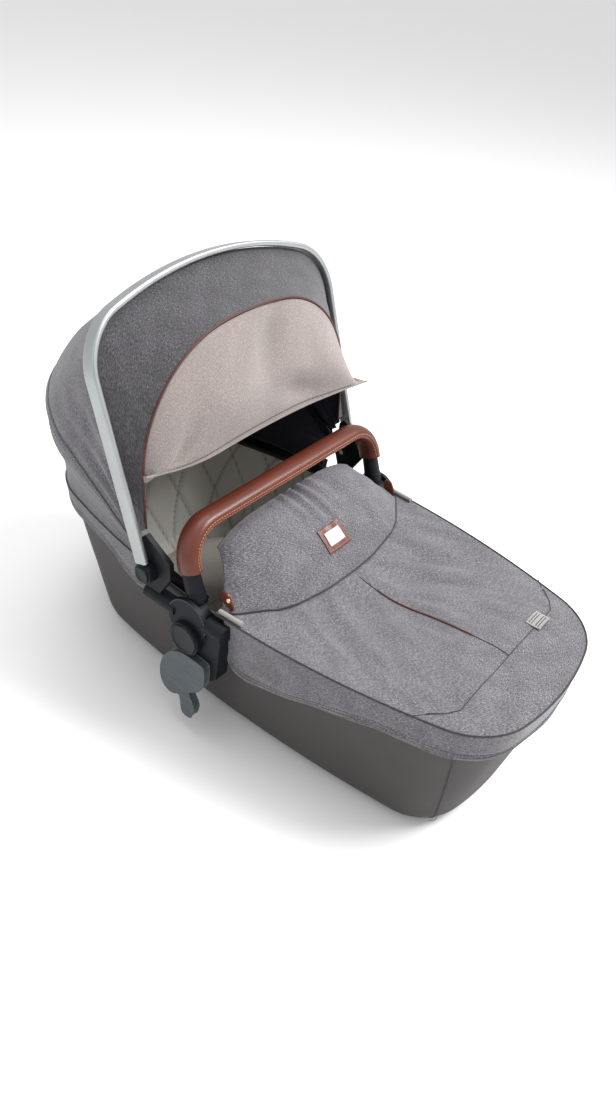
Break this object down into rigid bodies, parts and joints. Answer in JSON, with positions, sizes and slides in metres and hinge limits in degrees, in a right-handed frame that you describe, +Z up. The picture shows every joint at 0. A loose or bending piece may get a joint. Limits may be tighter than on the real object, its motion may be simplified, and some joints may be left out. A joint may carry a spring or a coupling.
{
  "type": "pram carrycot",
  "caption": "Lined carrycot for a pram chassis with folding hood, visor, foot apron with wind flap, leather carry handle and side adapters.",
  "frame": {"origin": "middle of the bounding box on the surface it stands on", "axes": "+X to the foot end, +Z up, the carry handle's pivot line along Y"},
  "size_m": [0.8528, 0.494, 0.6097],
  "materials": {
    "leatherette": "matt grained leatherette",
    "rubber": "matt",
    "base_board": "moulded",
    "mattress_cloth": "woven cover",
    "liner_cloth": "quilted",
    "black_tube": "black anodised",
    "melange_cloth": "melange weave",
    "visor_cloth": "warm grey melange weave",
    "bow_metal": "satin anodised",
    "black_plastic": "fine texture",
    "slate_plastic": "fine texture",
    "steel": "turned",
    "handle_metal": "drawn",
    "tan_leather": "smooth stitched leather",
    "label_enamel": "pale enamel",
    "tag_cloth": "woven tape",
    "brass": "polished"
  },
  "bodies": {
    "cot": {"tub_shell": "leatherette", "rubber_feet": "rubber", "base_board": "base_board", "mattress": "mattress_cloth", "liner": "liner_cloth", "rim_tube_foot": "black_tube", "rim_tube_head": "black_tube", "hood_rear_shell": "melange_cloth", "hood_skirt": "melange_cloth", "apron_skirt": "melange_cloth", "hood_hinge_pins": "steel", "hinge_bracket_right": "black_plastic", "hinge_bracket_left": "black_plastic", "housing_right": "black_plastic", "housing_left": "black_plastic", "adapter_right": "slate_plastic", "adapter_left": "slate_plastic", "handle_pivot_pins": "steel", "apron_top": "melange_cloth", "wind_flap_base": "melange_cloth", "flap_label": "tan_leather", "label_plate": "label_enamel", "edge_tag": "tag_cloth", "snap_tabs": "tan_leather", "tab_studs": "brass"},
    "hood_mid": {"hood_mid_shell": "melange_cloth", "mid_bow": "black_plastic"},
    "hood_front": {"front_bow": "bow_metal", "fascia": "melange_cloth", "hood_front_shell": "melange_cloth", "hood_knuckle_right": "black_plastic", "hood_knuckle_left": "black_plastic"},
    "visor": {"visor": "visor_cloth"},
    "carry_handle": {"handle_tube": "handle_metal", "handle_grip": "tan_leather", "handle_socket_right": "black_plastic", "handle_socket_left": "black_plastic", "handle_hub_right": "black_plastic", "handle_hub_left": "black_plastic"},
    "wind_flap": {"wind_flap": "melange_cloth"},
    "release_right": {"release_button_right": "black_plastic"},
    "release_left": {"release_button_left": "black_plastic"},
    "hinge_button_right": {"hinge_button_right": "black_plastic"},
    "hinge_button_left": {"hinge_button_left": "black_plastic"}
  },
  "joints": [
    {"name": "hood_fold", "type": "hinge", "parent": "cot", "child": "hood_mid", "pos_m": [-0.099, 0, 0.251], "axis": [0, -1, 0], "range_deg": [0, 20]},
    {"name": "hood_front_fold", "type": "hinge", "parent": "hood_mid", "child": "hood_front", "pos_m": [-0.099, 0, 0.251], "axis": [0, -1, 0], "range_deg": [0, 25]},
    {"name": "visor_flip", "type": "hinge", "parent": "hood_front", "child": "visor", "pos_m": [-0.1373, 0, 0.55301], "axis": [0, -1, 0], "range_deg": [0, 80]},
    {"name": "handle_swing", "type": "hinge", "parent": "cot", "child": "carry_handle", "pos_m": [-0.0187, 0, 0.2114], "axis": [0, 1, 0], "range_deg": [-4, 20]},
    {"name": "flap_fold", "type": "hinge", "parent": "cot", "child": "wind_flap", "pos_m": [0, 0, 0.274], "axis": [0, 1, 0], "range_deg": [0, 140]},
    {"name": "release_press_right", "type": "slide", "parent": "cot", "child": "release_right", "axis": [0, 1, 0], "range_m": [0, 0.0025], "stiffness_N_per_m": 400, "springref_m": -0.002},
    {"name": "hinge_press_right", "type": "slide", "parent": "hood_front", "child": "hinge_button_right", "axis": [0, 1, 0], "range_m": [0, 0.002], "stiffness_N_per_m": 300, "springref_m": -0.002},
    {"name": "release_press_left", "type": "slide", "parent": "cot", "child": "release_left", "axis": [0, -1, 0], "range_m": [0, 0.0025], "stiffness_N_per_m": 400, "springref_m": -0.002},
    {"name": "hinge_press_left", "type": "slide", "parent": "hood_front", "child": "hinge_button_left", "axis": [0, -1, 0], "range_m": [0, 0.002], "stiffness_N_per_m": 300, "springref_m": -0.002}
  ],
  "couplings": [
    {"joint": "hood_front_fold", "follows": "hood_fold", "ratio": 1.25}
  ]
}
